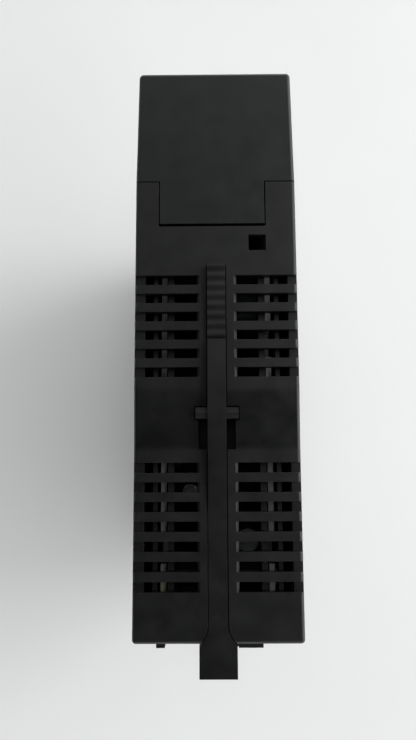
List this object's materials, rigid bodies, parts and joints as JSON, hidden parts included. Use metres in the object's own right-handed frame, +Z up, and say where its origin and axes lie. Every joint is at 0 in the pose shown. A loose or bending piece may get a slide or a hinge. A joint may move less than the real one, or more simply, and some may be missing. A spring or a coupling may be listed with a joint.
{
  "type": "plc module",
  "caption": "Slim rack-mounting input/output module with a vented housing, a release lever, a removable terminal block and a hinged front door.",
  "frame": {"origin": "centre of the bounding box's bottom, on the surface that the module stands on, which is its own top face: the module is stored upside down, as in the picture", "axes": "+Z up, out of the module's underside; -Y to the module's front, with the terminal block and the door; +Y to its rear, which plugs into the rack; X across its width"},
  "size_m": [0.035, 0.1298, 0.132],
  "materials": {
    "charcoal_plastic": "fine matte moulded texture, near-black charcoal",
    "terminal_plastic": "fine matte moulded texture, slightly darker charcoal",
    "lever_plastic": "matte moulded, slightly smoother than the housing",
    "smoked_lens": "smoked translucent lens",
    "green_board": "glass-epoxy circuit board with a pale yellow-green cut edge",
    "card_paper": "blank pale card",
    "nickel": "nickel-plated steel, satin",
    "spring_steel": "plain spring steel",
    "connector_plastic": "black glass-filled moulding",
    "relay_plastic": "dark grey relay case",
    "chip_epoxy": "black epoxy chip package",
    "converter_shell": "black potted converter case",
    "capacitor_sleeve": "grey shrink sleeve on a can",
    "fuse_glass": "clear glass fuse body"
  },
  "bodies": {
    "module_body": {"housing": "charcoal_plastic", "rear_cover": "charcoal_plastic", "front_frame": "charcoal_plastic", "lens_cap": "smoked_lens", "led_board": "green_board", "main_board": "green_board", "daughter_board": "green_board", "board_spacer_1": "connector_plastic", "board_spacer_2": "connector_plastic", "board_spacer_3": "connector_plastic", "board_spacer_4": "connector_plastic", "board_screw_1": "nickel", "board_screw_2": "nickel", "board_screw_3": "nickel", "board_screw_4": "nickel", "backplane_connector": "connector_plastic", "field_connector": "connector_plastic", "board_header": "connector_plastic", "output_relay_1": "relay_plastic", "output_relay_2": "relay_plastic", "output_relay_3": "relay_plastic", "output_relay_4": "relay_plastic", "controller_chip": "chip_epoxy", "dc_converter": "converter_shell", "filter_capacitor_1": "capacitor_sleeve", "filter_capacitor_2": "capacitor_sleeve", "input_fuse": "fuse_glass", "lever_spring": "spring_steel"},
    "latch": {"release_lever": "lever_plastic"},
    "terminals": {"terminal_block": "terminal_plastic", "terminal_screw_01": "nickel", "terminal_screw_02": "nickel", "terminal_screw_03": "nickel", "terminal_screw_04": "nickel", "terminal_screw_05": "nickel", "terminal_screw_06": "nickel", "terminal_screw_07": "nickel", "terminal_screw_08": "nickel", "terminal_screw_09": "nickel", "terminal_screw_10": "nickel", "terminal_screw_11": "nickel", "terminal_screw_12": "nickel", "terminal_screw_13": "nickel", "terminal_screw_14": "nickel", "terminal_screw_15": "nickel", "terminal_screw_16": "nickel", "terminal_screw_17": "nickel", "terminal_screw_18": "nickel", "terminal_screw_19": "nickel", "terminal_screw_20": "nickel"},
    "door": {"front_door": "charcoal_plastic", "door_card": "card_paper"},
    "tab": {"block_tab": "lever_plastic"}
  },
  "joints": [
    {"name": "release_lever_pivot", "type": "hinge", "parent": "module_body", "child": "latch", "pos_m": [0, 0.01195, 0.13], "axis": [1, 0, 0], "range_deg": [0, 4], "stiffness_Nm_per_rad": 1.5, "springref_deg": -2.86, "deforming": ["lever_spring"]},
    {"name": "terminal_block_slide", "type": "slide", "parent": "module_body", "child": "terminals", "axis": [0, -1, 0], "range_m": [0, 0.014]},
    {"name": "door_hinge", "type": "hinge", "parent": "terminals", "child": "door", "pos_m": [0.0152, -0.0583, 0.0376], "axis": [0, 0, 1], "range_deg": [0, 110]},
    {"name": "block_tab_hinge", "type": "hinge", "parent": "terminals", "child": "tab", "pos_m": [0, -0.058, 0.033], "axis": [-1, 0, 0], "range_deg": [0, 75]}
  ]
}
